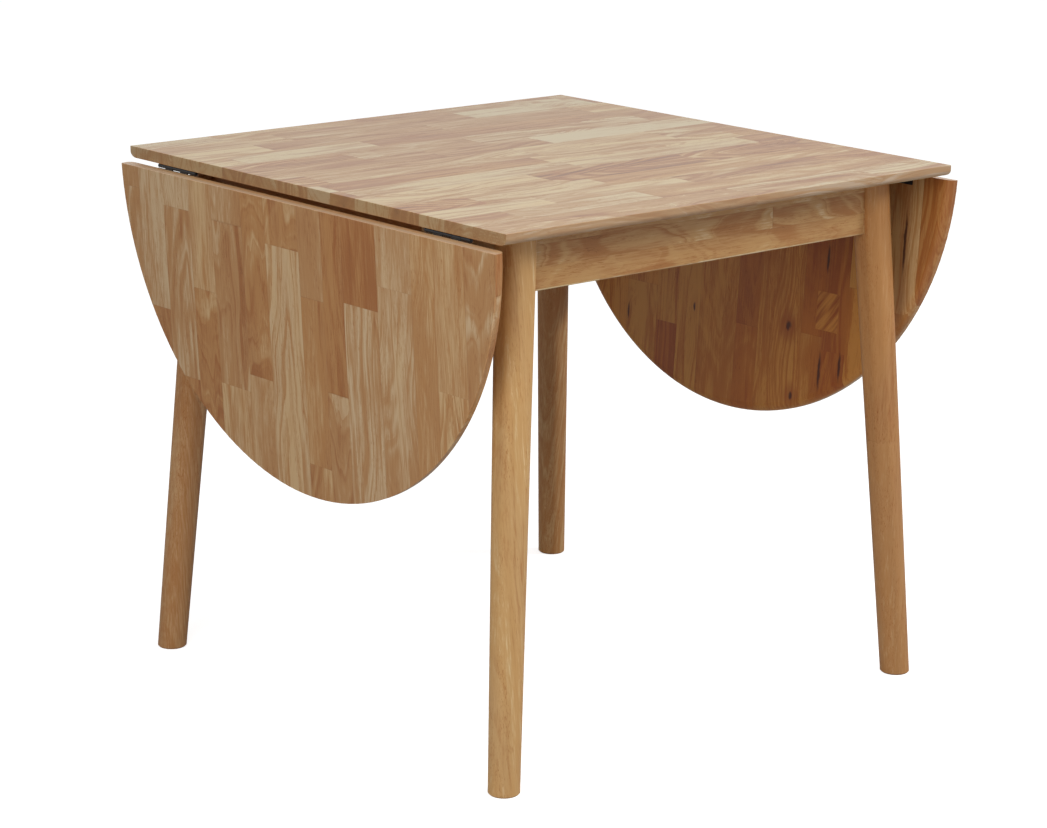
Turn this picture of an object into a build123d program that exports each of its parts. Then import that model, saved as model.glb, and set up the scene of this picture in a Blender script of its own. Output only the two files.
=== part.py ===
from build123d import *
import os
from math import atan2, cos, degrees, hypot, radians, sin, sqrt

os.makedirs("parts", exist_ok=True)

# Drop leaf table in solid hardwood, in millimetres. The origin is on the floor under the middle
# of the fixed top. X runs across the two hinge lines, Y along them, Z up. Both leaves hang.
# Everything is drawn once, in the right-hand (+X), rear (+Y) quarter, and mirrored from there.

# ---- overall sizes
table_height = 750.0
top_width = 822.0            # across the hinge lines
top_length = 822.0           # along the hinge lines
board_thickness = 16.0       # fixed top and leaves
leaf_depth = 406.5           # from a leaf's hinge edge to the furthest point of its round rim

# ---- edges of the boards
edge_flat = 7.0              # square part of a shaped edge, under the face
edge_under_round = 13.0      # how far the rounding under a shaped edge reaches in
arris = 0.8                  # easing of the sharp corners
hinge_edge_arris = 0.5       # easing of the corners along the hinge edges

# ---- legs: rounded square at the top, round at the floor, splayed both ways
leg_top_section = 47.0
leg_top_corner = 15.0
leg_foot_diameter = 42.4
foot_flat = 0.4              # what is left of the straight sides at the floor
leg_inset_x = 83.0           # from the top's hinge edge to the leg's axis under the top
leg_inset_y = 77.5           # from the top's shaped end to the same axis
leg_splay_x = 49.0           # how much further out the axis is at the floor
leg_splay_y = 45.5
foot_chamfer = 2.0

# ---- rails under the top
rail_height = 81.0
rail_thickness = 19.0
rail_setout = 12.0           # from the leg's axis at the top to a rail's outer face
rail_arris = 2.0             # easing of a rail's lower corners
joint_gap = 0.05             # glue line between a rail's end and the leg

# ---- corner blocks, bolts and screws of the frame
leg_seat_depth = 20.0        # from the leg's axis to the flat that the corner block bears on
block_thickness = 25.0
block_relief = 2.0           # block stands in from the rail's lower edge
bolt_diameter = 8.0
bolt_in_leg = 30.0
bolt_beyond_nut = 5.0
bolt_depths = (24.0, 57.0)   # down from the underside of the top
washer_diameter = 20.0
washer_thickness = 1.6
nut_across_flats = 13.0
nut_thickness = 6.5
fit_gap = 0.05               # round a screw, bolt or rivet in its hole, on the radius
bolt_hole_gap = 0.5          # round a bolt where it passes through the block
wood_screw_diameter = 4.0
wood_screw_head = 8.0
rail_screw_bite = 12.0       # how far a block's screw goes into the rail
rail_screw_grip = 12.0       # wood under the head of a block's screw
rail_screw_depths = (14.0, 67.0)  # down from the underside of the top
rail_screw_inset = 13.0      # from the inner corner between block and rail
top_screw_bite = 12.0        # how far a top screw goes into the top
cleat_length = 90.0
cleat_width = 20.0
cleat_height = 22.0
cleat_screw_spacing = 50.0
top_screw_offset = 12.0      # sideways from a corner's diagonal, clear of the bolts

# ---- hinges
pin_drop = 3.0               # pin's axis below the underside of the top
pin_inset = 2.6              # pin's axis inside the edge of the top
butt_gap = 0.6               # between the edges of top and leaf when the leaf is up
hinge_play = 0.15            # leaf sits this much lower than the top when it is up
hinge_length = 90.0
hinge_inset = 114.0          # from the top's shaped end to the middle of a hinge
hinge_plate_width = 19.0
hinge_plate_thickness = 1.6
knuckle_clearance = 0.3      # between a knuckle and the boards
knuckle_count = 5
knuckle_gap = 0.4            # between neighbouring knuckles
hinge_pin_diameter = 2.8
hinge_screw_diameter = 3.5
hinge_screw_head = 6.6
hinge_screw_length = 13.0
hinge_screw_spacing = 32.0
hinge_screw_inset = 7.0      # from the plate's free edge to the screws
leaf_tilt = 3.4              # a leaf hangs with its lower end this many degrees inwards
leaf_full_turn = 90.0 + leaf_tilt

# ---- folding stays that hold a raised leaf
stay_inset = 123.0           # from the top's shaped end to the plane in which a stay swings
stay_reach = 36.0            # arm's pivot out from the side rail's face
stay_drop = 50.0             # arm's pivot below the hinge pin
stud_hang_distance = 190.0   # stud to hinge pin along a hanging leaf
stud_standoff = 12.0         # stud's axis off the leaf's inner face when it hangs or is up
arm_thickness = 4.0
arm_width = 16.0
stud_diameter = 6.0
stud_head = 10.0
stud_head_thickness = 2.5
slot_clearance = 0.3         # round the stud in its slot
slot_margin = 5.5            # metal left outside the slot
web_thickness = 2.5
side_clearance = 0.3         # between arm, web and bracket cheeks
track_foot_width = 20.0
track_foot_thickness = 2.0
bracket_thickness = 2.0
bracket_width = 30.0
bracket_height = 40.0
bracket_root = 30.0          # width of a cheek at the plate
bracket_eye = 18.0           # width of a cheek round the pivot
rivet_diameter = 6.0
rivet_head = 10.0
rivet_head_thickness = 2.0
stay_screw_length = 12.0
bracket_screw_spacing = 26.0
track_screw_count = 3

# ---- places that follow from the sizes
leg_top_x = top_width / 2 - leg_inset_x
leg_top_y = top_length / 2 - leg_inset_y
leg_foot_x = leg_top_x + leg_splay_x
leg_foot_y = leg_top_y + leg_splay_y
hinge_centre_y = top_length / 2 - hinge_inset
stay_y = top_length / 2 - stay_inset
underside = table_height - board_thickness
rail_bottom = underside - rail_height
end_rail_face = leg_top_y + rail_setout
side_rail_face = leg_top_x + rail_setout
pin_x = top_width / 2 - pin_inset
pin_z = underside - pin_drop
leaf_edge = pin_inset + butt_gap           # leaf's hinge edge, along the leaf from the pin
leaf_face = pin_drop - hinge_play          # leaf's inner face, outwards from the pin
knuckle_radius = pin_drop - knuckle_clearance
leaf_radius = ((top_length / 2) ** 2 + leaf_depth ** 2) / (2 * leaf_depth)
leaf_centre = leaf_edge + leaf_depth - leaf_radius
blade = 4 * (top_width + top_length)       # longer than anything on the table, for cutting


# ---- small helpers
def save(name, shape):
    """Write one piece, or one group of like pieces, as parts/name.step."""
    export_step(shape, f"parts/{name}.step")


def group(shapes):
    """Several separate solids as one shape."""
    return Compound(children=list(shapes))


def mirrored(shape, left, front):
    """A piece of the right-hand rear quarter, brought to another quarter."""
    if left:
        shape = mirror(shape, about=Plane.YZ)
    if front:
        shape = mirror(shape, about=Plane.XZ)
    return shape


def all_quarters(shapes):
    """The same shapes in all four quarters of the table."""
    return [mirrored(shape, left, front)
            for shape in shapes for left in (False, True) for front in (False, True)]


def rod(start, end, diameter):
    """A round bar between two points."""
    axis = Vector(*end) - Vector(*start)
    return Plane(origin=start, z_dir=axis) * extrude(Circle(diameter / 2), axis.length)


def screw(point, direction, length, diameter, head, sunk=True, gap=0.0):
    """A wood screw: the top of its head at point, its tip along direction.

    A sunk head is a cone, any other a flat disc. With a gap it is the hole that the screw fills."""
    depth = (head - diameter) / 2 if sunk else head / 3
    shank = diameter / 2 + gap
    outline = [(0, 0), (head / 2 + gap, 0)]
    if not sunk:
        outline.append((head / 2 + gap, depth))
    outline += [(shank, depth), (shank, length - diameter), (0, length + 2 * gap)]
    body = revolve(Plane.XZ * make_face(Polyline(*outline, close=True)), Axis.Z)
    if gap == 0:
        recess = Box(head / 2, head / 8, depth) + Box(head / 8, head / 2, depth)
        body = body - recess
    return Plane(origin=point, z_dir=direction) * body


def screw_hole(*place, sunk=True):
    """The hole for a screw, a fit_gap larger all round."""
    return screw(*place, sunk=sunk, gap=fit_gap)


# ---- boards
def edge_lines(reach):
    """Outline of a shaped edge at distance reach, from the upper face down to the lower face.

    Eased arris, square flat, then the under-rounding; the lower face is at height 0."""
    flat_end = board_thickness - edge_flat
    corner = (reach - arris, board_thickness - arris)
    return [
        CenterArc(corner, arris, 0, 90),
        Line((reach, board_thickness - arris), (reach, flat_end)),
        EllipticalCenterArc((reach - edge_under_round, flat_end), edge_under_round, flat_end,
                            -90, arc_size=90),
    ]


def corner_wedge(x, z, way_x, way_z):
    """What easing takes off a sharp corner that runs along Y through x and z."""
    triangle = make_face(Polyline(
        (x, z), (x + way_x * hinge_edge_arris, z), (x, z + way_z * hinge_edge_arris), close=True))
    return extrude(Plane.XZ * triangle, blade, both=True)


def make_top():
    """Fixed top: shaped ends, square hinge edges with eased upper corners."""
    half = top_length / 2
    lines = edge_lines(half)
    lines += [line.mirror(Plane.YZ) for line in edge_lines(half)]
    lines.append(Line((-half + arris, board_thickness), (half - arris, board_thickness)))
    lines.append(Line((-half + edge_under_round, 0), (half - edge_under_round, 0)))
    plane = Plane(origin=(-top_width / 2, 0, underside), x_dir=(0, 1, 0), z_dir=(1, 0, 0))
    board = plane * extrude(make_face(lines), top_width)
    for side in (-1, 1):
        board = board - corner_wedge(side * top_width / 2, table_height, -side, -1)
    holes = [at_pin(hole) for hole in hinge_holes(pin_drop)]
    holes += [top_screw(point, gap=fit_gap) for point in top_screw_points()]
    return board - all_quarters(holes)


def make_leaf():
    """A leaf in the frame of the pin: it hangs along -Z, its inner face at +X from the pin."""
    centre = (leaf_face, 0, -leaf_centre)
    lines = edge_lines(leaf_radius)
    lines.append(Line((0, board_thickness), (leaf_radius - arris, board_thickness)))
    lines.append(Line((0, 0), (leaf_radius - edge_under_round, 0)))
    lines.append(Line((0, 0), (0, board_thickness)))
    plane = Plane(origin=centre, x_dir=(0, 0, -1), z_dir=(0, -1, 0))
    disc = revolve(plane * make_face(lines), Axis(centre, (1, 0, 0)))
    leaf = disc - Pos(0, 0, blade / 2 - leaf_edge) * Box(blade, blade, blade)
    leaf = leaf - corner_wedge(leaf_face + board_thickness, -leaf_edge, -1, -1)
    holes = [leaf_side(hole) for hole in hinge_holes(leaf_face)]
    holes += [screw_hole(*place) for place in track_screw_places()]
    return leaf - holes - [mirror(hole, about=Plane.XZ) for hole in holes]


# ---- frame
def leg_axis(height):
    """Where a leg's axis is at a height above the floor."""
    share = height / underside
    return (leg_foot_x + (leg_top_x - leg_foot_x) * share,
            leg_foot_y + (leg_top_y - leg_foot_y) * share)


def leg_half(height):
    """Half the leg's width at a height above the floor."""
    return (leg_foot_diameter + (leg_top_section - leg_foot_diameter) * height / underside) / 2


def seat_plane():
    """Upright plane across the corner: the leg's flat, facing the middle of the table."""
    inward = Vector(-1, -1, 0).normalized()
    point = Vector(leg_top_x, leg_top_y, underside) + inward * leg_seat_depth
    return Plane(origin=point, x_dir=(1, -1, 0), z_dir=inward)


def bolt_starts():
    """Where the two hanger bolts of a corner cross the leg's seat."""
    return [seat_plane().origin - Vector(0, 0, depth) for depth in bolt_depths]


def leg_section(height, trim=0.0):
    """Outline of a leg at a height: a square whose corners round off towards the foot."""
    half = leg_half(height) - trim
    share = height / underside
    corner = leg_top_corner * share + (leg_foot_diameter - foot_flat) / 2 * (1 - share) - trim
    x, y = leg_axis(height)
    return Pos(x, y, height) * RectangleRounded(2 * half, 2 * half, corner)


def make_leg():
    """A leg: straight taper from a nearly round foot to a rounded square head, with a bolt seat."""
    leg = loft([leg_section(foot_chamfer), leg_section(underside)], ruled=True)
    leg = leg + loft([leg_section(0, foot_chamfer), leg_section(foot_chamfer)], ruled=True)
    reach = 2 * leg_top_section
    leg = leg - seat_plane() * Box(
        reach, 2 * rail_height, reach, align=(Align.CENTER, Align.CENTER, Align.MIN))
    inward = seat_plane().z_dir
    for start in bolt_starts():
        leg = leg - rod(start, start - inward * (bolt_in_leg + fit_gap), bolt_diameter + 2 * fit_gap)
    return leg


def rail_half(height, along):
    """Half the length of a rail at a height: it stops at the leaning side of the leg."""
    return leg_axis(height)[along] - leg_half(height) - joint_gap


def make_rail(along, face):
    """A rail on the +Y side for along=0 (it runs in X), or on the +X side for along=1."""
    low = rail_half(rail_bottom, along)
    high = rail_half(underside, along)
    section = make_face(Polyline((-low, rail_bottom), (low, rail_bottom), (high, underside),
                                 (-high, underside), close=True))
    plane = Plane.XZ if along == 0 else Plane.YZ
    thickness = rail_thickness if along == 0 else -rail_thickness
    place = Pos(0, face, 0) if along == 0 else Pos(face, 0, 0)
    rail = place * extrude(plane * section, thickness)
    direction = Axis.X if along == 0 else Axis.Y
    return fillet(rail.edges().filter_by(direction).group_by(Axis.Z)[0], rail_arris)


def make_corner_block():
    """Block across a corner, bored: it bears on the leg's flat, its ends on the two rails."""
    slab = seat_plane() * Box(blade, rail_height - block_relief, block_thickness,
                              align=(Align.CENTER, Align.MAX, Align.MIN))
    inside = Box(side_rail_face - rail_thickness, end_rail_face - rail_thickness, table_height,
                 align=(Align.MIN, Align.MIN, Align.MIN))
    block = slab & inside
    inward = seat_plane().z_dir
    for start in bolt_starts():
        block = block - rod(start, start + inward * block_thickness, bolt_diameter + 2 * bolt_hole_gap)
    for place in block_screw_places():
        block = block - screw_hole(*place, sunk=False)
        block = block - head_room(place)
    top_place = top_screw_points()[0]
    return block - top_screw(top_place, gap=fit_gap) - rod(
        top_place, (top_place[0], top_place[1], rail_bottom), wood_screw_head + 2 * fit_gap)


def block_screw_places():
    """Screws of one corner block, two into each rail: head, direction and sizes of each."""
    side_face = side_rail_face - rail_thickness
    end_face = end_rail_face - rail_thickness
    seat = seat_plane().origin
    inner = seat.X + seat.Y - block_thickness * sqrt(2)
    sizes = (rail_screw_grip + rail_screw_bite, wood_screw_diameter, wood_screw_head)
    places = []
    for depth in rail_screw_depths:
        height = underside - depth
        y = inner - side_face + rail_screw_inset
        x = inner - end_face + rail_screw_inset
        places.append(((side_face - rail_screw_grip, y, height), (1, 0, 0), *sizes))
        places.append(((x, end_face - rail_screw_grip, height), (0, 1, 0), *sizes))
    return places


def head_room(place):
    """The bore behind a sunk screw head."""
    start = Vector(*place[0])
    return rod(start - Vector(*place[1]) * block_thickness, start, wood_screw_head + 2 * fit_gap)


def top_screw_points():
    """Heads of the screws up into the top in one quarter: corner block, then half the cleats."""
    middle = seat_plane().origin + seat_plane().z_dir * (block_thickness / 2)
    aside = Vector(1, -1, 0).normalized() * top_screw_offset
    height = underside - cleat_height
    end_cleat_y = end_rail_face - rail_thickness - cleat_width / 2
    side_cleat_x = side_rail_face - rail_thickness - cleat_width / 2
    return [
        (middle.X + aside.X, middle.Y + aside.Y, height),
        (cleat_screw_spacing / 2, end_cleat_y, height),
        (side_cleat_x, cleat_screw_spacing / 2, height),
    ]


def top_screw(point, gap=0.0):
    """One screw up through a cleat or block into the top, or its hole when there is a gap."""
    return screw(point, (0, 0, 1), cleat_height + top_screw_bite, wood_screw_diameter,
                 wood_screw_head, sunk=True, gap=gap)


def drill_rail(rail, along):
    """Holes in a rail for the screws of its two corner blocks and, in a side rail, the stays."""
    places = [place for place in block_screw_places() if place[1][1 - along] == 1]
    holes = [screw_hole(*place, sunk=False) for place in places]
    if along == 1:
        holes += [screw_hole(*place) for place in bracket_screw_places()]
    about = Plane.YZ if along == 0 else Plane.XZ
    return rail - holes - [mirror(hole, about=about) for hole in holes]


def make_cleat(along):
    """Cleat at the middle of a rail, under the top: on the +Y side, or the +X side for along=1."""
    reach = (end_rail_face if along == 0 else side_rail_face) - rail_thickness
    size = (cleat_length, cleat_width) if along == 0 else (cleat_width, cleat_length)
    place = (0, reach - cleat_width / 2) if along == 0 else (reach - cleat_width / 2, 0)
    cleat = Pos(*place, underside - cleat_height / 2) * Box(*size, cleat_height)
    cleat = chamfer(cleat.edges().group_by(Axis.Z)[0], rail_arris / 2)
    holes = [top_screw(top_screw_points()[1 + along], gap=fit_gap)]
    about = Plane.YZ if along == 0 else Plane.XZ
    return cleat - holes - [mirror(hole, about=about) for hole in holes]


def make_hanger_bolts():
    """The two hanger bolts of a corner."""
    inward = seat_plane().z_dir
    out = block_thickness + washer_thickness + nut_thickness + bolt_beyond_nut
    return [rod(start - inward * bolt_in_leg, start + inward * out, bolt_diameter)
            for start in bolt_starts()]


def on_bolt(start, distance):
    """Plane across a bolt, a distance inwards from the leg's seat."""
    return Plane(origin=start + seat_plane().z_dir * distance, z_dir=seat_plane().z_dir)


def make_washers():
    """The two washers of a corner, against the block."""
    ring = extrude(Circle(washer_diameter / 2) - Circle(bolt_diameter / 2 + fit_gap), washer_thickness)
    return [on_bolt(start, block_thickness) * ring for start in bolt_starts()]


def make_nuts():
    """The two hexagon nuts of a corner."""
    hexagon = RegularPolygon(nut_across_flats / 2, 6, major_radius=False)
    nut = extrude(hexagon - Circle(bolt_diameter / 2 + fit_gap), nut_thickness)
    return [on_bolt(start, block_thickness + washer_thickness) * nut for start in bolt_starts()]


# ---- hinges, in the frame of the pin: +X outwards, the pin at the origin and along Y
def at_pin(shape):
    """From the frame of the pin to the table, for what is fixed to the top."""
    return Pos(pin_x, 0, pin_z) * shape


def hang(shape):
    """From the frame of the pin to the table, for what is fixed to the hanging leaf."""
    return Pos(pin_x, 0, pin_z) * (Rot(0, leaf_tilt, 0) * shape)


def knuckle_spans():
    """Start and end of each knuckle along the pin."""
    pitch = hinge_length / knuckle_count
    start = hinge_centre_y - hinge_length / 2
    return [(start + i * pitch + knuckle_gap / 2, start + (i + 1) * pitch - knuckle_gap / 2)
            for i in range(knuckle_count)]


def hinge_screw_places(face):
    """The three screws of a hinge plate that lies against a board at height face."""
    x = hinge_screw_inset - hinge_plate_width
    return [((x, hinge_centre_y + step * hinge_screw_spacing, face - hinge_plate_thickness), (0, 0, 1),
             hinge_screw_length, hinge_screw_diameter, hinge_screw_head) for step in (-1, 0, 1)]


def hinge_screws(face):
    return [screw(*place) for place in hinge_screw_places(face)]


def hinge_holes(face):
    return [screw_hole(*place) for place in hinge_screw_places(face)]


def hinge_plate(face, first):
    """One plate of a hinge, against a board at height face, with every other knuckle from first."""
    plate = Pos(-hinge_plate_width / 2, hinge_centre_y, face - hinge_plate_thickness / 2) * Box(
        hinge_plate_width, hinge_length, hinge_plate_thickness)
    plate = plate - hinge_holes(face)
    room = 2 * (knuckle_radius + knuckle_gap)
    for index, (start, end) in enumerate(knuckle_spans()):
        if index % 2 == first:
            plate = plate + rod((0, start, 0), (0, end, 0), 2 * knuckle_radius)
        else:
            plate = plate - Pos(0, (start + end) / 2, 0) * Box(room, end - start + 2 * knuckle_gap, room)
    start = hinge_centre_y - hinge_length / 2
    return plate - rod((0, start, 0), (0, start + hinge_length, 0), hinge_pin_diameter + 2 * fit_gap)


def leaf_side(shape):
    """Swing a piece drawn against the top's underside over to the inner face of a hanging leaf.

    Inwards along the underside becomes downwards along the leaf; up becomes outwards."""
    return mirror(shape, about=Plane(origin=(0, 0, 0), z_dir=(1, 0, -1)))


def make_hinge_pin():
    """Hinge pin, the length of the hinge."""
    start = hinge_centre_y - hinge_length / 2
    return at_pin(rod((0, start, 0), (0, start + hinge_length, 0), hinge_pin_diameter))


# ---- folding stays: plane geometry in the frame of the pin, x outwards and z up
def leaf_point(along, inward, lift):
    """A point of a leaf that has turned lift degrees from straight down."""
    angle = radians(lift)
    return (along * sin(angle) - inward * cos(angle), -along * cos(angle) - inward * sin(angle))


stay_pivot = (side_rail_face + stay_reach - pin_x, -stay_drop)
stud_inward = stud_standoff - leaf_face


def swing(point):
    """Angle of the arm from straight down when its stud is at point, and the arm's length."""
    across = point[0] - stay_pivot[0]
    up = point[1] - stay_pivot[1]
    return degrees(atan2(across, -up)), hypot(across, up)


hang_angle, arm_length = swing(leaf_point(stud_hang_distance, stud_inward, -leaf_tilt))
stud_up_distance = stay_pivot[0] + sqrt(arm_length ** 2 - (stay_drop - stud_inward) ** 2)
up_angle = swing(leaf_point(stud_up_distance, stud_inward, 90.0))[0]
arm_turn = up_angle - hang_angle
stay_ratio = arm_turn / leaf_full_turn


def slot_point(share):
    """The stud's place on the leaf when the leaf has made this share of its full turn.

    The arm turns stay_ratio times as far as the leaf, and the slot is cut to that path."""
    lift = radians(-leaf_tilt + share * leaf_full_turn)
    arm = radians(hang_angle + share * arm_turn)
    x = stay_pivot[0] + arm_length * sin(arm)
    z = stay_pivot[1] - arm_length * cos(arm)
    along = x * sin(lift) - z * cos(lift)
    inward = -(x * cos(lift) + z * sin(lift))
    return (-inward, -along)


slot_steps = 8
slot_path = [slot_point(step / slot_steps) for step in range(slot_steps + 1)]
web_y = stay_y + arm_thickness / 2 + side_clearance


def band(width):
    """The slot's path widened to a band with round ends."""
    strip = trace(Spline(*slot_path), width)
    for end in (slot_path[0], slot_path[-1]):
        strip = strip + Pos(*end) * Circle(width / 2)
    return strip


def track_span():
    """Lowest and highest point of the track's foot along the leaf."""
    margin = stud_diameter / 2 + slot_margin
    return slot_path[0][1] - margin, slot_path[-1][1] + margin


def track_screw_places():
    """Screws in the track's foot, in the frame of the pin."""
    low, high = track_span()
    pitch = (high - low) / track_screw_count
    y = web_y + (web_thickness + track_foot_width) / 2
    return [((leaf_face - track_foot_thickness, y, low + (step + 0.5) * pitch), (1, 0, 0),
             stay_screw_length, hinge_screw_diameter, hinge_screw_head)
            for step in range(track_screw_count)]


def make_track():
    """Slotted track: a foot screwed to the leaf's inner face and a web with the curved slot."""
    low, high = track_span()
    rim = stud_diameter + 2 * slot_clearance + 2 * slot_margin
    base = Pos(leaf_face - track_foot_thickness / 2, (low + high) / 2) * Rectangle(
        track_foot_thickness, high - low)
    lobes = [Pos(*point) * Circle(rim / 2) for point in slot_path]
    outline = make_hull([edge for face in lobes + [base] for edge in face.edges()])
    left_of_face = Pos(leaf_face - blade / 2, 0) * Rectangle(blade, blade)
    shape = (outline & left_of_face) - band(stud_diameter + 2 * slot_clearance)
    web = Pos(0, web_y, 0) * extrude(Plane.XZ * shape, -web_thickness)
    foot = Pos(leaf_face - track_foot_thickness / 2, web_y + track_foot_width / 2,
               (low + high) / 2) * Box(track_foot_thickness, track_foot_width, high - low)
    return web + foot - [screw_hole(*place) for place in track_screw_places()]


def at_stay(shape):
    """From the frame of the stay's pivot to the table."""
    return Pos(pin_x + stay_pivot[0], stay_y, pin_z + stay_pivot[1]) * shape


def make_arm():
    """Swinging arm: a flat bar with round ends, a hole for the rivet and one for the stud."""
    outline = SlotCenterToCenter(arm_length, arm_width, rotation=90)
    outline = Pos(0, -arm_length / 2) * outline - Circle(rivet_diameter / 2 + fit_gap)
    outline = outline - Pos(0, -arm_length) * Circle(stud_diameter / 2 + fit_gap)
    bar = extrude(Plane.XZ * outline, arm_thickness / 2, both=True)
    return at_stay(Rot(0, -hang_angle, 0) * bar)


def make_stud():
    """Stud on the arm's end: it slides in the track's slot and has a head on each side."""
    near = -arm_thickness / 2
    far = arm_thickness / 2 + web_thickness + 2 * side_clearance
    shank = rod((0, near - stud_head_thickness, 0), (0, far + stud_head_thickness, 0), stud_diameter)
    heads = rod((0, near - stud_head_thickness, 0), (0, near, 0), stud_head)
    heads = heads + rod((0, far, 0), (0, far + stud_head_thickness, 0), stud_head)
    return at_stay(Rot(0, -hang_angle, 0) * (Pos(0, 0, -arm_length) * (shank + heads)))


def make_rivet():
    """Pivot rivet through the bracket's cheeks."""
    half = arm_thickness / 2 + side_clearance + bracket_thickness
    shank = rod((0, -half, 0), (0, half, 0), rivet_diameter)
    for sign in (-1, 1):
        shank = shank + rod((0, sign * half, 0), (0, sign * (half + rivet_head_thickness), 0), rivet_head)
    return at_stay(shank)


def bracket_screw_places():
    """Screws of a bracket into the side rail, one beside each cheek."""
    inner = arm_thickness / 2 + side_clearance + bracket_thickness
    offset = (inner + bracket_width / 2) / 2
    middle = pin_z + stay_pivot[1]
    return [((side_rail_face + bracket_thickness, stay_y + side * offset,
              middle + side * bracket_screw_spacing / 2), (-1, 0, 0),
             stay_screw_length, hinge_screw_diameter, hinge_screw_head) for side in (-1, 1)]


def make_bracket():
    """Clevis bracket: a plate on the side rail's face and two cheeks that carry the pivot."""
    plate = Pos(bracket_thickness / 2 - stay_reach, 0, 0) * Box(
        bracket_thickness, bracket_width, bracket_height)
    cheek = make_hull((Circle(bracket_eye / 2).edges()
                       + (Pos(-stay_reach + bracket_thickness / 2, 0)
                          * Rectangle(bracket_thickness, bracket_root)).edges()))
    cheek = cheek - Circle(rivet_diameter / 2 + fit_gap)
    bracket = plate
    for sign in (-1, 1):
        offset = sign * (arm_thickness / 2 + side_clearance + bracket_thickness / 2)
        bracket = bracket + Pos(0, offset, 0) * extrude(Plane.XZ * cheek, bracket_thickness / 2, both=True)
    return at_stay(bracket) - [screw_hole(*place) for place in bracket_screw_places()]


# ---- write every piece
sides = (("right", False), ("left", True))
ends = (("front", True), ("rear", False))

save("top_panel", make_top())
right_leaf = hang(make_leaf())
end_rail = drill_rail(make_rail(0, end_rail_face), 0)
side_rail = drill_rail(make_rail(1, side_rail_face), 1)
end_cleat = make_cleat(0)
side_cleat = make_cleat(1)
for side, left in sides:
    save(f"{side}_leaf", mirrored(right_leaf, left, False))
    save(f"{side}_side_rail", mirrored(side_rail, left, False))
    save(f"{side}_cleat", mirrored(side_cleat, left, False))
for end, front in ends:
    save(f"{end}_end_rail", mirrored(end_rail, False, front))
    save(f"{end}_cleat", mirrored(end_cleat, False, front))

corner_pieces = {"leg": make_leg(), "corner_block": make_corner_block()}
hinge_pieces = {
    "hinge_top_plate": at_pin(hinge_plate(pin_drop, 0)),
    "hinge_leaf_plate": hang(leaf_side(hinge_plate(leaf_face, 1))),
    "hinge_pin": make_hinge_pin(),
}
stay_pieces = {
    "stay_bracket": make_bracket(),
    "stay_arm": make_arm(),
    "stay_stud": make_stud(),
    "stay_track": hang(make_track()),
}
for side, left in sides:
    for end, front in ends:
        for name, shape in {**corner_pieces, **hinge_pieces, **stay_pieces}.items():
            save(f"{side}_{end}_{name}", mirrored(shape, left, front))

frame_fasteners = {
    "hanger_bolts": make_hanger_bolts(),
    "bolt_washers": make_washers(),
    "bolt_nuts": make_nuts(),
    "block_screws": [screw(*place, sunk=False) for place in block_screw_places()],
    "top_screws": [top_screw(point) for point in top_screw_points()],
    "hinge_top_screws": [at_pin(piece) for piece in hinge_screws(pin_drop)],
    "stay_bracket_screws": [screw(*place) for place in bracket_screw_places()],
    "stay_rivets": [make_rivet()],
}
for name, pieces in frame_fasteners.items():
    save(name, group(mirrored(piece, left, front)
                     for _, left in sides for _, front in ends for piece in pieces))
leaf_fasteners = {
    "leaf_hinge_screws": [hang(leaf_side(piece)) for piece in hinge_screws(leaf_face)],
    "stay_track_screws": [hang(screw(*place)) for place in track_screw_places()],
}
for name, pieces in leaf_fasteners.items():
    for side, left in sides:
        save(f"{side}_{name}", group(mirrored(piece, left, front)
                                     for _, front in ends for piece in pieces))

print("stay pivot", round(pin_x + stay_pivot[0], 4), round(pin_z + stay_pivot[1], 4))
print("arm length", round(arm_length, 3), "turn", round(arm_turn, 4), "ratio", round(stay_ratio, 8))
print("stud distance when up", round(stud_up_distance, 2))
print("hinge pin", round(pin_x, 4), round(pin_z, 4), "leaf radius", round(leaf_radius, 3))
print("slot path", [(round(x, 1), round(z, 1)) for x, z in slot_path])
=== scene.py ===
"""Looks of a drop leaf table in clear-finished rubberwood.

The file is laid out as an add-on and run as a script."""

import math

import bpy
import numpy as np
from bpy.props import FloatProperty, FloatVectorProperty, PointerProperty
from mathutils import Euler, Matrix, Vector


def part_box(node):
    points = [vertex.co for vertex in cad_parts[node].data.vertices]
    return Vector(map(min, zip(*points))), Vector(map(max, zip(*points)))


bl_info = {
    "name": "Drop leaf table",
    "version": (1, 0, 0),
    "blender": (4, 5, 0),
    "location": "3D View > Sidebar > Table",
    "description": "Finishes the boards, frame and hardware of a drop leaf table, and sets its stage",
    "category": "Object",
}

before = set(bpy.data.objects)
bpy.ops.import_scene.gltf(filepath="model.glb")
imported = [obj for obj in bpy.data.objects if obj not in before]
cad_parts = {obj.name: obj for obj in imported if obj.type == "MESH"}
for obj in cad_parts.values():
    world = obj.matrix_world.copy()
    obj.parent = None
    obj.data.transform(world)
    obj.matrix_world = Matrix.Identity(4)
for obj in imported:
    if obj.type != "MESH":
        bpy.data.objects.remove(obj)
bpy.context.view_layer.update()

LEAF_TILT = math.radians(3.4)   # a hanging leaf leans in at its lower end
LEG_HEAD = 0.045                # section of a leg, for reading its splay off its box
QUARTER = math.pi / 2
WHITE = (1.0, 1.0, 1.0)

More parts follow.
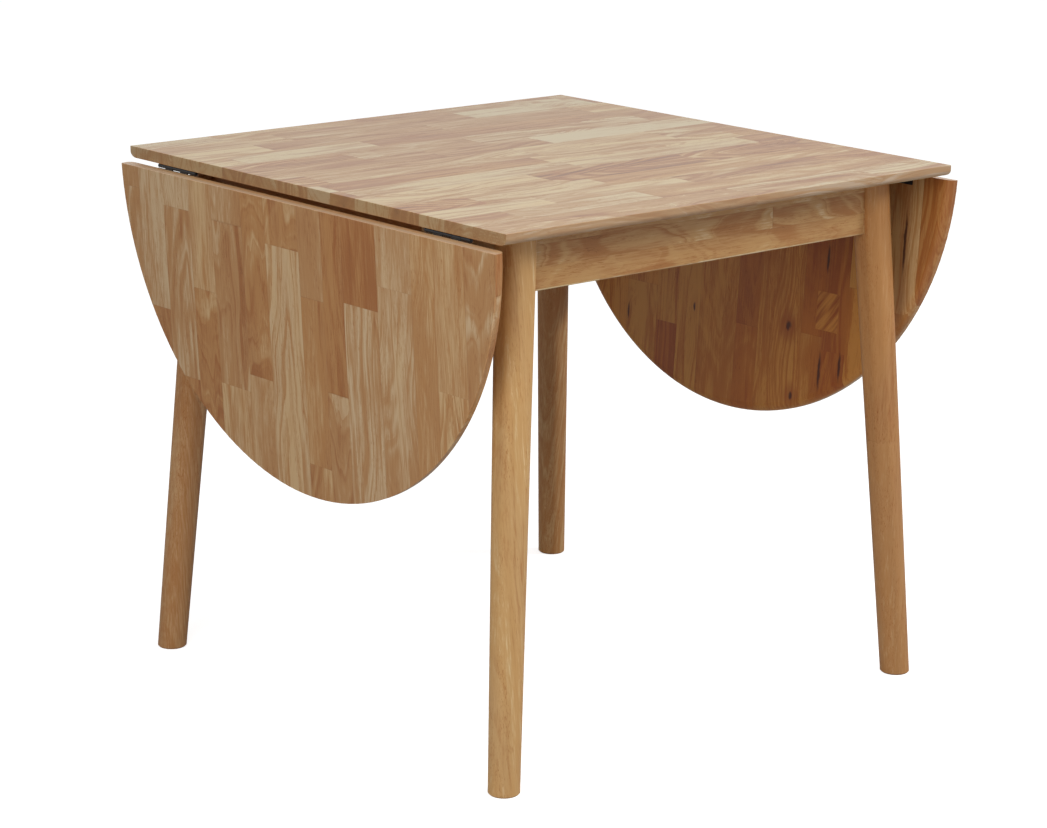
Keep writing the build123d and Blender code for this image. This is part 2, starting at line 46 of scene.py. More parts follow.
# Wood of the boards, from the palest tone to the darkest
PALE = (0.70, 0.50, 0.29)
TAN = (0.525, 0.270, 0.105)
RED = (0.40, 0.155, 0.046)
DARK = (0.17, 0.052, 0.015)
WARM_TINT = (1.0, 0.93, 0.80)       # of the yellower staves
GLUE_TINT = (0.62, 0.50, 0.40)      # of the glue lines
PATCH_PALE = (0.72, 0.46, 0.22)     # pale lines of the slanted patch
LEAF_END_LIT = (0.70, 0.49, 0.32)       # end grain on the leaves' hinge edges, made paler as painted light that falls on them from above
RAIL_TINT = (1.10, 1.26, 1.38)
# Tints of the legs' wood, with painted light on the left front leg and painted shade on the two rear
# legs
LEG_LIGHT_SHADE_TINTS = {"left_front_leg": (1.26, 1.50, 1.68), "right_front_leg": (1.00, 0.98, 0.95),
             "left_rear_leg": (0.90, 0.78, 0.66), "right_rear_leg": (0.90, 0.78, 0.62)}
UNDER_SHADE_TINTS = {                 # painted shade on the lower faces: first along the middle of the hinge line, then towards its two ends, paler there on the leaves as painted light
    "top_panel": ((0.90, 0.76, 0.56), (0.90, 0.76, 0.56)),
    "left_leaf": ((0.90, 0.76, 0.56), (0.95, 0.86, 0.70)),
    "right_leaf": ((0.90, 0.58, 0.21), (0.97, 0.89, 0.72)),
}

# How far a normal lies along the staves on a cut end, and across them on a side
END_FACING = (0.55, 0.95)
SIDE_FACING = (0.3, 0.9)

# Where the painted shade of the under tints lies, in metres from the middle of a board
UNDER_LEVEL = -0.0076           # height just above the top's underside
UNDER_BLUR = 0.0004             # half the height over which the under tint comes in
UNDER_ENDS = (0.26, 0.36)       # along the hinge line, from the first under tint to the second

# Staves: far larger than a piece where they leave it whole, and longer in a rail than in a board
WHOLE_WIDTH = 4.0
WHOLE_LENGTH = 8.0
RAIL_LAYER_SHIFT = 0.013        # moves the glue lines between a rail's layers
RAIL_STAVE_SHARE = 1.6

LEAF_MARKS = {                  # middle x and y, length, width, strength of the halo
    "left_leaf": (),
    "right_leaf": ((-0.492, -0.123, 0.017, 0.013, 0.8), (-0.388, -0.137, 0.015, 0.010, 0.7),
                   (-0.435, -0.191, 0.062, 0.006, 0.4), (-0.449, -0.230, 0.048, 0.006, 0.4),
                   (-0.604, -0.193, 0.046, 0.005, 0.3), (-0.486, 0.077, 0.016, 0.005, 0.2),
                   (-0.455, 0.223, 0.030, 0.005, 0.2), (-0.650, -0.337, 0.100, 0.006, 0.5)),
}
LEAF_PATCHES = {                # middle x and y, length, width
    "left_leaf": (),
    "right_leaf": ((-0.526, -0.199, 0.058, 0.044),),
}
LEAF_BOARDS = {                 # side of the table, seed of the staves, variety of their tones
    "left_leaf": (1.0, 27, 0.62),
    "right_leaf": (-1.0, 41, 1.0),
}
RAIL_TURNS = {"end": (-QUARTER, 0.0, 0.0), "side": (-QUARTER, -QUARTER, 0.0)}
BLOCK_TURNS = {
    "_corner_block": (0.0, QUARTER, 0.0),
    "front_cleat": RAIL_TURNS["end"],
    "rear_cleat": RAIL_TURNS["end"],
    "left_cleat": RAIL_TURNS["side"],
    "right_cleat": RAIL_TURNS["side"],
}

TABLE_MIDDLE = (0.0, 0.0, 0.45)
FRONT_END = (0.0, -0.3, 0.6)
LAMPS = {                       # place, point that it faces, side of its square
    "over": ((-0.9, -1.1, 2.4), TABLE_MIDDLE, 1.4),
    "front": ((-0.5, -2.6, 2.4), FRONT_END, 1.0),
    "side": ((-3.1, -1.5, 1.6), TABLE_MIDDLE, 1.8),
    "right": ((3.4, -2.2, 2.3), TABLE_MIDDLE, 1.1),
}
SENSOR_WIDTH = 36.0             # millimetres
VIEW_DISTANCE = 100.0           # metres, as far as the camera sees


# ---------------------------------------------------------------- settings
def colour(name, description, default):
    """A colour that the user may change."""
    return FloatVectorProperty(name=name, description=description, subtype="COLOR", size=3,
                               min=0.0, max=1.0, default=default)


def length(name, description, default, **limits):
    """A length that the user may change."""
    return FloatProperty(name=name, description=description, unit="LENGTH", subtype="DISTANCE",
                         default=default, precision=4, **limits)


class TableWoodSettings(bpy.types.PropertyGroup):
    """Colours and stave sizes of the wood."""

    pale: colour("Sapwood", "Palest wood", PALE)
    tan: colour("Tan wood", "Commonest tone of the wood", TAN)
    red: colour("Pinkish wood", "Reddish brown wood", RED)
    dark: colour("Streak", "Tone of the darkest streaks", DARK)
    knot: colour("Knot", "Knots and the cores of dark flecks", (0.075, 0.020, 0.003))
    end: colour("End grain", "Tone that the cut ends lean to", (0.36, 0.175, 0.072))
    stave_width: length("Stave width", "Width of the glued staves of the boards", 0.060, min=0.01)
    stave_length: length("Stave length", "Usual length of a stave between finger joints", 0.34,
                         min=0.05)
    rail_layer: length("Rail layer", "Height of the layers of a rail", 0.034, min=0.01)
    ring_spacing: length("Ring spacing", "Usual distance between growth rings", 0.0075, min=0.001)
    finger_pitch: length("Finger pitch", "Distance between the fingers of an end joint", 0.004,
                         min=0.001)
    finger_depth: length("Finger depth", "Length of the fingers of an end joint", 0.009, min=0.001)
    roughness: FloatProperty(name="Roughness", description="Roughness of the clear satin finish",
                             default=0.46, min=0.0, max=1.0, subtype="FACTOR")


class TableMetalSettings(bpy.types.PropertyGroup):
    """Colours of the hardware."""

    black: colour("Black paint", "Paint of the hinges and stays", (0.012, 0.012, 0.013))
    bare: colour("Bare steel", "Steel where the paint is rubbed off", (0.30, 0.29, 0.28))
    zinc: colour("Zinc", "Plated bolts, nuts and screws", (0.58, 0.59, 0.60))
    wear: FloatProperty(name="Wear", description="How much of the paint is rubbed", default=0.25,
                        min=0.0, max=1.0, subtype="FACTOR")


class TableStageSettings(bpy.types.PropertyGroup):
    """Camera, lamps and floor."""

    eye: FloatVectorProperty(name="Camera place", description="Where the camera stands", size=3,
                             unit="LENGTH", subtype="TRANSLATION",
                             default=(-2.7523, -3.1227, 1.4576))
    heading: FloatProperty(name="Heading", description="Camera's turn to the right from the +Y axis",
                           unit="ROTATION", subtype="ANGLE", default=math.radians(41.19))
    dip: FloatProperty(name="Dip", description="How far the camera looks down", unit="ROTATION",
                       subtype="ANGLE", default=math.radians(14.62))
    roll: FloatProperty(name="Roll", description="Camera's lean to one side", unit="ROTATION",
                        subtype="ANGLE", default=math.radians(0.719))
    lens: FloatProperty(name="Lens", description="Focal length on a 36 mm wide sensor",
                        unit="CAMERA", default=102.35, min=10.0)
    floor: colour("Floor", "Colour of the floor as it lights the table", (0.50, 0.50, 0.50))
    floor_seen: colour("Seen floor", "Share of light the seen floor throws back", (0.85, 0.85, 0.85))
    floor_lift: FloatProperty(name="Floor lift", description="Even white added to the seen floor",
                              default=0.75, min=0.0, max=1.0, subtype="FACTOR")
    floor_size: length("Floor radius", "Radius of the round floor", 14.0, min=2.0)
    sky: FloatProperty(name="Room light", description="Strength of the even light from all round",
                       default=0.30, min=0.0)
    over: FloatProperty(name="Overhead lamp", description="Power of the lamp above", unit="POWER",
                        default=10.0, min=0.0)
    front: FloatProperty(name="Front lamp", description="Power of the lamp before the front end",
                         unit="POWER", default=12.0, min=0.0)
    side: FloatProperty(name="Side lamp", description="Power of the lamp beside the left leaf",
                        unit="POWER", default=31.0, min=0.0)
    right: FloatProperty(name="Right lamp", description="Power of the lamp right of the front end",
                         unit="POWER", default=76.0, min=0.0)


# ---------------------------------------------------------------- writing nodes
COLOUR_MIX_INPUTS = (0, 6, 7)   # factor and the two colours among a Mix node's sockets
COLOUR_MIX_OUTPUT = 2


def opaque(value):
    """A colour setting with full alpha."""
    return (*value, 1.0)


class Nodes:
    """Short ways to write a node tree."""

    def __init__(self, tree):
        self.tree = tree

    def add(self, kind, **settings):
        """A node of a kind, with its settings."""
        new = self.tree.nodes.new(kind)
        for key, value in settings.items():
            setattr(new, key, value)
        return new

    def put(self, socket, value):
        """Feed a socket with another socket or with a plain value."""
        if isinstance(value, bpy.types.NodeSocket):
            self.tree.links.new(value, socket)
        else:
            socket.default_value = value

    def math(self, operation, *values, clamp=False):
        """A Math node."""
        new = self.add("ShaderNodeMath", operation=operation, use_clamp=clamp)
        for socket, value in zip(new.inputs, values):
            self.put(socket, value)
        return new.outputs[0]

    def centred(self, value):
        """A value between 0 and 1, less a half."""
        return self.math("SUBTRACT", value, 0.5)

    def vector(self, operation, *values):
        """A Vector Math node; its vector output."""
        new = self.add("ShaderNodeVectorMath", operation=operation)
        for socket, value in zip(new.inputs, values):
            self.put(socket, value)
        return new.outputs[0]

    def split(self, vector):
        """The three parts of a vector."""
        new = self.add("ShaderNodeSeparateXYZ")
        self.put(new.inputs[0], vector)
        return new.outputs

    def join(self, x, y, z):
        """A vector from three parts."""
        new = self.add("ShaderNodeCombineXYZ")
        for socket, value in zip(new.inputs, (x, y, z)):
            self.put(socket, value)
        return new.outputs[0]

    def stretched(self, vector, along, across):
        """A vector times one number along the grain and another across it."""
        return self.vector("MULTIPLY", vector, (along, across, across))

    def mix(self, factor, first, second, blend="MIX"):
        """A colour mix."""
        new = self.add("ShaderNodeMix", data_type="RGBA", blend_type=blend)
        share, first_colour, second_colour = (new.inputs[place] for place in COLOUR_MIX_INPUTS)
        self.put(share, factor)
        self.put(first_colour, first)
        self.put(second_colour, second)
        return new.outputs[COLOUR_MIX_OUTPUT]

    def tinted(self, body, tint):
        """A colour times a tint."""
        return self.mix(1.0, body, tint, "MULTIPLY")

    def band(self, value, low, high, first=0.0, second=1.0):
        """A smooth step of a value from low to high, between two results."""
        new = self.add("ShaderNodeMapRange", interpolation_type="SMOOTHSTEP")
        for socket, number in zip(new.inputs, (value, low, high, first, second)):
            self.put(socket, number)
        return new.outputs[0]

    def noise(self, vector, scale=1.0, detail=2.0, roughness=0.5, distortion=0.0):
        """A three-dimensional noise; its value."""
        new = self.add("ShaderNodeTexNoise", noise_dimensions="3D")
        self.put(new.inputs["Vector"], vector)
        for key, value in (("Scale", scale), ("Detail", detail), ("Roughness", roughness),
                           ("Distortion", distortion)):
            self.put(new.inputs[key], value)
        return new.outputs["Fac"]

    def line_noise(self, place, detail=0.0, roughness=0.5):
        """A noise along one line; its value."""
        new = self.add("ShaderNodeTexNoise", noise_dimensions="1D")
        self.put(new.inputs["W"], place)
        for key, value in (("Scale", 1.0), ("Detail", detail), ("Roughness", roughness)):
            self.put(new.inputs[key], value)
        return new.outputs["Fac"]

    def dice(self, vector):
        """A random value and a random colour for each whole-number vector."""
        new = self.add("ShaderNodeTexWhiteNoise", noise_dimensions="3D")
        self.put(new.inputs["Vector"], vector)
        return new.outputs["Value"], new.outputs["Color"]

    def group(self, tree, **values):
        """A node group with its inputs; its outputs."""
        new = self.add("ShaderNodeGroup")
        new.node_tree = tree
        for key, value in values.items():
            self.put(new.inputs[key.replace("_", " ")], value)
        return new.outputs


def new_group(name, inputs, outputs):
    """An empty shader node group with named sockets, each (name, kind, default)."""
    tree = bpy.data.node_groups.new(name, "ShaderNodeTree")
    for in_out, sockets in (("INPUT", inputs), ("OUTPUT", outputs)):
        for socket_name, kind, default in sockets:
            socket = tree.interface.new_socket(name=socket_name, in_out=in_out,
                                               socket_type="NodeSocket" + kind)
            if default is not None:
                socket.default_value = default
    nodes = Nodes(tree)
    start = nodes.add("NodeGroupInput").outputs
    end = nodes.add("NodeGroupOutput").inputs
    return nodes, start, end


# ---------------------------------------------------------------- shared effects
STAVE_SOCKETS = (
    ("Vector", "Vector", None), ("Width", "Float", 0.060), ("Length", "Float", 0.34),
    ("Finger Pitch", "Float", 0.004), ("Finger Depth", "Float", 0.009), ("Seed", "Float", 0.0),
)


def edge_distance(nodes, place, size):
    """Distance to the nearer edge of a cell: a half less the distance of the fraction of place
    from a half, times the cell's size."""
    from_middle = nodes.math("ABSOLUTE", nodes.centred(nodes.math("FRACT", place)))
    return nodes.math("MULTIPLY", nodes.math("SUBTRACT", 0.5, from_middle), size)


def stave_layout():
    """Node group: a board glued up from staves, in rows across Y, joined end to end along X.

    The row is the whole part of y over the stave width, with y first pushed by a slow noise so
    that widths differ. The stave is the whole part of x over the stave length, pushed by a random
    amount for the row, by a slow noise, and by a zigzag through the thickness for the fingers."""
    nodes, start, end = new_group("Stave layout", STAVE_SOCKETS, (
        ("Dice", "Color", None), ("Seam", "Float", None),
    ))
    x, y, z = nodes.split(start["Vector"])
    across = nodes.math("DIVIDE", y, start["Width"])
    shifted = nodes.math("MULTIPLY_ADD", start["Seed"], 7.31, across)
    sway = nodes.line_noise(nodes.math("MULTIPLY", shifted, 0.55))
    across = nodes.math("MULTIPLY_ADD", sway, 0.9, shifted)
    row = nodes.math("FLOOR", across)
    row_value, _ = nodes.dice(nodes.join(row, start["Seed"], 3.7))
    finger = nodes.math("PINGPONG", z, nodes.math("DIVIDE", start["Finger Pitch"], 2.0))
    finger = nodes.math("DIVIDE", finger, start["Finger Pitch"])
    along = nodes.math("MULTIPLY_ADD", finger, start["Finger Depth"], x)
    along = nodes.math("DIVIDE", along, start["Length"])
    along = nodes.math("MULTIPLY_ADD", row_value, 9.7, along)
    slow_along = nodes.math("MULTIPLY", along, 0.9)
    wander = nodes.line_noise(nodes.math("MULTIPLY_ADD", row, 4.13, slow_along))
    along = nodes.math("ADD", wander, along)
    _, dice = nodes.dice(nodes.join(row, nodes.math("FLOOR", along), start["Seed"]))
    near = nodes.math("MINIMUM", edge_distance(nodes, along, start["Length"]),
                      edge_distance(nodes, across, start["Width"]))
    nodes.put(end["Dice"], dice)
    nodes.put(end["Seam"], nodes.band(near, 0.0001, 0.0006, 1.0, 0.0))
    return nodes.tree


def wood_figure():
    """Node group: growth rings, fibres, pores and streaks of one stave, grain along X.

    Rings are bands of the distance from a pith line that lies beside and below the stave and
    slopes along it, so a flat face cuts them into arches or straight lines. Fibres, pores and
    streaks are noises drawn out along the grain."""
    nodes, start, end = new_group("Wood figure", (
        ("Vector", "Vector", None), ("Dice", "Color", None), ("Ring Spacing", "Float", 0.0075),
    ), (
        ("Rings", "Float", None), ("Fibre", "Float", None), ("Pores", "Float", None),
        ("Streaks", "Float", None), ("Cloud", "Float", None),
    ))
    first, second, third = nodes.split(start["Dice"])
    shift = nodes.vector("MULTIPLY", start["Dice"], (3.1, 1.7, 2.3))
    place = nodes.vector("ADD", start["Vector"], shift)
    sway_y = nodes.noise(nodes.stretched(place, 3.5, 9.0), detail=1.0)
    sway_z = nodes.noise(nodes.stretched(place, 6.0, 22.0), detail=2.0)
    x, y, z = nodes.split(start["Vector"])
    pith_y = nodes.math("MULTIPLY", nodes.centred(first), 0.30)
    pith_y = nodes.math("MULTIPLY_ADD", nodes.centred(sway_y), 0.11, pith_y)
    folded_y = nodes.math("PINGPONG", nodes.math("ADD", y, first), 0.05)
    local_y = nodes.math("SUBTRACT", folded_y, pith_y)
    pith_z = nodes.math("MULTIPLY_ADD", second, 0.07, 0.012)
    slope = nodes.math("MULTIPLY", nodes.centred(third), 0.42)
    local_z = nodes.math("MULTIPLY_ADD", x, slope, nodes.math("ADD", z, pith_z))
    local_z = nodes.math("MULTIPLY_ADD", nodes.centred(sway_z), 0.03, local_z)
    squares = nodes.math("MULTIPLY_ADD", local_y, local_y, nodes.math("MULTIPLY", local_z, local_z))
    radius = nodes.math("SQRT", squares)
    phase = nodes.math("DIVIDE", radius, start["Ring Spacing"])
    phase = nodes.math("MULTIPLY_ADD", first, 31.0, phase)
    soft = nodes.line_noise(phase, detail=2.0, roughness=0.55)
    line = nodes.math("POWER", nodes.math("FRACT", nodes.math("MULTIPLY", phase, 0.75)), 5.0)
    rings = nodes.math("MULTIPLY_ADD", line, 0.45, nodes.band(soft, 0.30, 0.72), clamp=True)
    fibre = nodes.noise(nodes.stretched(place, 26.0, 430.0), detail=3.0, roughness=0.62)
    pores = nodes.noise(nodes.stretched(place, 95.0, 1500.0), detail=1.0)
    crowd = nodes.noise(nodes.stretched(place, 7.0, 60.0), detail=1.0)
    pores = nodes.math("MULTIPLY", nodes.band(pores, 0.58, 0.72), nodes.band(crowd, 0.38, 0.66))
    streaks = nodes.noise(nodes.stretched(place, 3.2, 46.0), detail=3.0, roughness=0.6,
                          distortion=0.5)
    cloud = nodes.noise(nodes.stretched(place, 5.0, 24.0), detail=2.0)
    for key, result in (("Rings", rings), ("Fibre", fibre), ("Pores", pores),
                        ("Streaks", nodes.band(streaks, 0.54, 0.74)), ("Cloud", cloud)):
        nodes.put(end[key], result)
    return nodes.tree


def rubberwood(layout, figure):
    """Node group: colour, roughness and relief of clear-finished rubberwood made of staves.

    Every stave has a random level from pale to red. Rings, clouds and streaks of the figure move
    the level up and down, and the level picks a colour from pale through tan to red and dark."""
    nodes, start, end = new_group("Rubberwood", (
        *STAVE_SOCKETS, ("Ring Spacing", "Float", 0.0075), ("Pale", "Color", opaque(PALE)),
        ("Tan", "Color", opaque(TAN)), ("Red", "Color", opaque(RED)),
        ("Dark", "Color", opaque(DARK)), ("Variety", "Float", 1.0), ("Figure", "Float", 1.0),
        ("Streaking", "Float", 0.6), ("Roughness", "Float", 0.46),
    ), (("Color", "Color", None), ("Roughness", "Float", None), ("Height", "Float", None)))
    stave = nodes.group(layout, Vector=start["Vector"], Width=start["Width"],
                        Length=start["Length"], Finger_Pitch=start["Finger Pitch"],
                        Finger_Depth=start["Finger Depth"], Seed=start["Seed"])
    grain = nodes.group(figure, Vector=start["Vector"], Dice=stave["Dice"],
                        Ring_Spacing=start["Ring Spacing"])
    own, yellowness, ringiness = nodes.split(stave["Dice"])
    cloudiness = nodes.centred(grain["Cloud"])
    fibre = nodes.centred(grain["Fibre"])
    spread = nodes.math("MULTIPLY", nodes.centred(own), 0.95)
    level = nodes.math("MULTIPLY_ADD", spread, start["Variety"], 0.44)
    rings = nodes.math("MULTIPLY", nodes.centred(grain["Rings"]),
                       nodes.band(ringiness, 0.1, 0.9, 0.20, 0.58))
    level = nodes.math("MULTIPLY_ADD", rings, start["Figure"], level)
    cloud = nodes.math("MULTIPLY", cloudiness, start["Figure"])
    level = nodes.math("MULTIPLY_ADD", cloud, 1.30, level)
    level = nodes.math("MULTIPLY_ADD", fibre, 0.85, level)
    streaks = nodes.math("MULTIPLY", grain["Streaks"], start["Streaking"])
    level = nodes.math("MULTIPLY_ADD", streaks, 0.75, level)
    level = nodes.math("MULTIPLY_ADD", grain["Pores"], 0.60, level)
    body = nodes.mix(nodes.band(level, 0.0, 0.5), start["Pale"], start["Tan"])
    body = nodes.mix(nodes.band(level, 0.5, 1.0), body, start["Red"])
    body = nodes.mix(nodes.band(level, 1.0, 1.9, 0.0, 0.8), body, start["Dark"])
    warmth = nodes.math("MULTIPLY_ADD", cloudiness, -1.6, yellowness)
    body = nodes.mix(nodes.band(warmth, 0.2, 1.0), body, nodes.tinted(body, opaque(WARM_TINT)))
    seam = nodes.math("MULTIPLY", stave["Seam"], 0.30)
    body = nodes.mix(seam, body, nodes.tinted(body, opaque(GLUE_TINT)))
    nodes.put(end["Color"], body)
    rough = nodes.math("MULTIPLY_ADD", fibre, 0.18, start["Roughness"])
    nodes.put(end["Roughness"], nodes.math("MULTIPLY_ADD", grain["Pores"], 0.18, rough, clamp=True))
    height = nodes.math("MULTIPLY_ADD", grain["Pores"], -0.9, grain["Fibre"])
    nodes.put(end["Height"], nodes.math("MULTIPLY_ADD", stave["Seam"], -0.6, height))
    return nodes.tree


def mark():
    """Node group: one knot or dark streak, long along X, as a soft core and a wide halo.

    With u the distance along X over half the length and v the distance across over half the
    width, bent by a slow noise, the core fades where the root of u squared plus v squared nears 1
    and the halo where it nears 4."""
    nodes, start, end = new_group("Mark", (
        ("Vector", "Vector", None), ("Place", "Vector", None), ("Length", "Float", 0.012),
        ("Width", "Float", 0.008),
    ), (("Core", "Float", None), ("Halo", "Float", None)))
    bend = nodes.noise(nodes.vector("MULTIPLY", start["Vector"], (60.0, 140.0, 0.0)), detail=2.0)
    along, across, _ = nodes.split(nodes.vector("SUBTRACT", start["Vector"], start["Place"]))
    along = nodes.math("DIVIDE", along, nodes.math("MULTIPLY", start["Length"], 0.5))
    across = nodes.math("DIVIDE", across, nodes.math("MULTIPLY", start["Width"], 0.5))
    across = nodes.math("MULTIPLY_ADD", nodes.centred(bend), 1.6, across)
    reach = nodes.math("MULTIPLY_ADD", along, along, nodes.math("MULTIPLY", across, across))
    reach = nodes.math("SQRT", reach)
    nodes.put(end["Core"], nodes.band(reach, 0.45, 1.15, 1.0, 0.0))
    nodes.put(end["Halo"], nodes.band(reach, 0.8, 4.0, 1.0, 0.0))
    return nodes.tree


def patch():
    """Node group: a rectangular patch whose grain runs aslant, as a mask and a slanted figure.

    The figure is a noise drawn out along the direction whose sine and cosine are below."""
    nodes, start, end = new_group("Patch", (
        ("Vector", "Vector", None), ("Place", "Vector", None), ("Length", "Float", 0.058),
        ("Width", "Float", 0.044),
    ), (("Mask", "Float", None), ("Figure", "Float", None)))
    local = nodes.vector("SUBTRACT", start["Vector"], start["Place"])
    along, across, _ = nodes.split(local)
    half_length = nodes.math("MULTIPLY", start["Length"], 0.5)
    half_width = nodes.math("MULTIPLY", start["Width"], 0.5)
    along_gap = nodes.math("SUBTRACT", nodes.math("ABSOLUTE", along), half_length)
    across_gap = nodes.math("SUBTRACT", nodes.math("ABSOLUTE", across), half_width)
    gap = nodes.math("MAXIMUM", along_gap, across_gap)
    sine, cosine = 0.62, 0.78
    slant = nodes.math("SUBTRACT", nodes.math("MULTIPLY", along, sine),
                       nodes.math("MULTIPLY", across, cosine))
    grain = nodes.math("ADD", nodes.math("MULTIPLY", along, cosine),
                       nodes.math("MULTIPLY", across, sine))
    drawn_out = nodes.join(nodes.math("MULTIPLY", slant, 130.0),
                           nodes.math("MULTIPLY", grain, 14.0), 0.0)
    figure = nodes.noise(drawn_out, detail=3.0)
    nodes.put(end["Mask"], nodes.band(gap, -0.0008, 0.0002, 1.0, 0.0))
    nodes.put(end["Figure"], nodes.band(figure, 0.35, 0.68))
    return nodes.tree


def rubbed_paint():
    """Node group: a mask of where paint or plating is rubbed thin, and a fine orange-peel relief."""
    nodes, start, end = new_group("Rubbed finish", (
        ("Vector", "Vector", None), ("Wear", "Float", 0.25),
    ), (("Mask", "Float", None), ("Height", "Float", None), ("Mottle", "Float", None)))
    patches = nodes.noise(start["Vector"], scale=160.0, detail=4.0, roughness=0.62)
    limit = nodes.math("MULTIPLY_ADD", start["Wear"], -0.35, 0.78)
    mask = nodes.band(patches, limit, nodes.math("ADD", limit, 0.08))
    nodes.put(end["Mask"], mask)
    nodes.put(end["Height"], nodes.noise(start["Vector"], scale=2600.0, detail=2.0))
    nodes.put(end["Mottle"], nodes.noise(start["Vector"], scale=420.0, detail=3.0))
    return nodes.tree


def shared_groups():
    """The node groups, built once."""
    wanted = ("Rubberwood", "Rubbed finish", "Mark", "Patch")
    if not all(name in bpy.data.node_groups for name in wanted):
        rubberwood(stave_layout(), wood_figure())
        rubbed_paint()
        mark()
        patch()
    return {name: bpy.data.node_groups[name] for name in wanted}


# ---------------------------------------------------------------- materials
def fresh_material(name):
    """An empty node material with its output and its Principled shader."""
    material = bpy.data.materials.new(name)
    material.use_nodes = True
    material.node_tree.nodes.clear()
    nodes = Nodes(material.node_tree)
    output = nodes.add("ShaderNodeOutputMaterial")
    shader = nodes.add("ShaderNodeBsdfPrincipled")
    nodes.put(output.inputs["Surface"], shader.outputs["BSDF"])
    return material, nodes, shader


def object_place(nodes, turn=(0.0, 0.0, 0.0), shift=(0.0, 0.0, 0.0)):
    """Object coordinates, turned and shifted so that the grain runs along X."""
    mapping = nodes.add("ShaderNodeMapping", vector_type="POINT")
    coordinates = nodes.add("ShaderNodeTexCoord")
    nodes.put(mapping.inputs["Vector"], coordinates.outputs["Object"])
    mapping.inputs["Rotation"].default_value = turn
    mapping.inputs["Location"].default_value = shift
    return mapping.outputs["Vector"]


def relief(nodes, shader, height, strength, distance):
    """Give a shader's surface a small relief."""
    bump = nodes.add("ShaderNodeBump")
    bump.inputs["Strength"].default_value = strength
    bump.inputs["Distance"].default_value = distance
    nodes.put(bump.inputs["Height"], height)
    nodes.put(shader.inputs["Normal"], bump.outputs["Normal"])


def wood_material(name, settings, turn, shift, width, stave_length, seed, variety=1.0, figure=1.0,
                  streaking=0.6, coat=0.12, tint=WHITE, under_shade_tints=None, under_level=0.0,
                  marks=(), patches=(), end_grain=0.5, end_tone=None, side_sheen_tint=WHITE,
                  side_calm=0.0):
    """Rubberwood with its staves laid out along one way of a piece.

    Turn and shift bring the staves along X and the middle of the thickness to height 0. Ends lean
    to the end tone by end_grain, and sides to tan by side_calm; the side tint, where not white,
    then puts a painted sheen on the sides. The under tints, where given, take the tint's place
    below the under level as painted shade: the first along the middle of the hinge line, the
    second towards its two ends, paler there on the leaves as painted light."""
    material, nodes, shader = fresh_material(name)
    place = object_place(nodes, turn, shift)
    wood = nodes.group(shared_groups()["Rubberwood"], Vector=place, Width=width,
                       Length=stave_length, Finger_Pitch=settings.finger_pitch,
                       Finger_Depth=settings.finger_depth, Ring_Spacing=settings.ring_spacing,
                       Seed=float(seed), Pale=opaque(settings.pale), Tan=opaque(settings.tan),
                       Red=opaque(settings.red), Dark=opaque(settings.dark), Variety=variety,
                       Figure=figure, Streaking=streaking, Roughness=settings.roughness)
    body = wood["Color"]
    for x, y, mark_length, mark_width, halo in marks:
        spot = nodes.group(shared_groups()["Mark"], Vector=place, Place=(x, y, 0.0),
                           Length=mark_length, Width=mark_width)
        body = nodes.mix(nodes.math("MULTIPLY", spot["Halo"], halo), body, opaque(settings.red))
        body = nodes.mix(nodes.math("MULTIPLY", spot["Core"], 0.95), body, opaque(settings.knot))
    for x, y, patch_length, patch_width in patches:
        piece = nodes.group(shared_groups()["Patch"], Vector=place, Place=(x, y, 0.0),
                            Length=patch_length, Width=patch_width)
        slanted = nodes.mix(piece["Figure"], opaque(PATCH_PALE), opaque(settings.red))
        body = nodes.mix(piece["Mask"], body, slanted)
    facing = nodes.add("ShaderNodeMapping", vector_type="VECTOR")
    facing.inputs["Rotation"].default_value = turn
    nodes.put(facing.inputs["Vector"], nodes.add("ShaderNodeTexCoord").outputs["Normal"])
    lengthways, sideways, _ = nodes.split(facing.outputs["Vector"])
    end_face = nodes.band(nodes.math("ABSOLUTE", lengthways), *END_FACING, 0.0, end_grain)
    body = nodes.mix(end_face, body, opaque(end_tone or settings.end))
    # Sides lean to tan, then take the side tint: a painted sheen, paler and bluer, where the tint
    # isn't white
    side_face = nodes.band(nodes.math("ABSOLUTE", sideways), *SIDE_FACING)
    side = nodes.mix(side_calm, body, opaque(settings.tan))
    body = nodes.mix(side_face, body, nodes.tinted(side, opaque(side_sheen_tint)))
    tint_and_shade = opaque(tint)
    # Below the under level the under tints put painted shade on the lower face, paler towards the
    # ends of the hinge line as painted light
    if under_shade_tints:
        _, across, height = nodes.split(place)
        outer = nodes.band(nodes.math("ABSOLUTE", across), *UNDER_ENDS)
        under = nodes.mix(outer, *(opaque(under_shade_tint) for under_shade_tint in under_shade_tints))
        upper = nodes.band(height, under_level - UNDER_BLUR, under_level + UNDER_BLUR)
        tint_and_shade = nodes.mix(upper, under, tint_and_shade)
    nodes.put(shader.inputs["Base Color"], nodes.tinted(body, tint_and_shade))
    nodes.put(shader.inputs["Roughness"], wood["Roughness"])
    shader.inputs["Coat Weight"].default_value = coat
    shader.inputs["Coat Roughness"].default_value = 0.35
    shader.inputs["IOR"].default_value = 1.45
    relief(nodes, shader, wood["Height"], strength=0.35, distance=0.00025)
    return material


def painted_material(name, settings):
    """Black painted steel, rubbed here and there."""
    material, nodes, shader = fresh_material(name)
    finish = nodes.group(shared_groups()["Rubbed finish"], Vector=object_place(nodes),
                         Wear=settings.wear)
    dusty = [2.2 * part for part in settings.black]
    paint = nodes.mix(finish["Mottle"], opaque(settings.black), opaque(dusty))
    nodes.put(shader.inputs["Base Color"], nodes.mix(finish["Mask"], paint, opaque(settings.bare)))
    nodes.put(shader.inputs["Metallic"], finish["Mask"])
    nodes.put(shader.inputs["Roughness"], nodes.band(finish["Mottle"], 0.2, 0.8, 0.40, 0.58))
    shader.inputs["Specular IOR Level"].default_value = 0.3
    relief(nodes, shader, finish["Height"], strength=0.25, distance=0.0001)
    return material


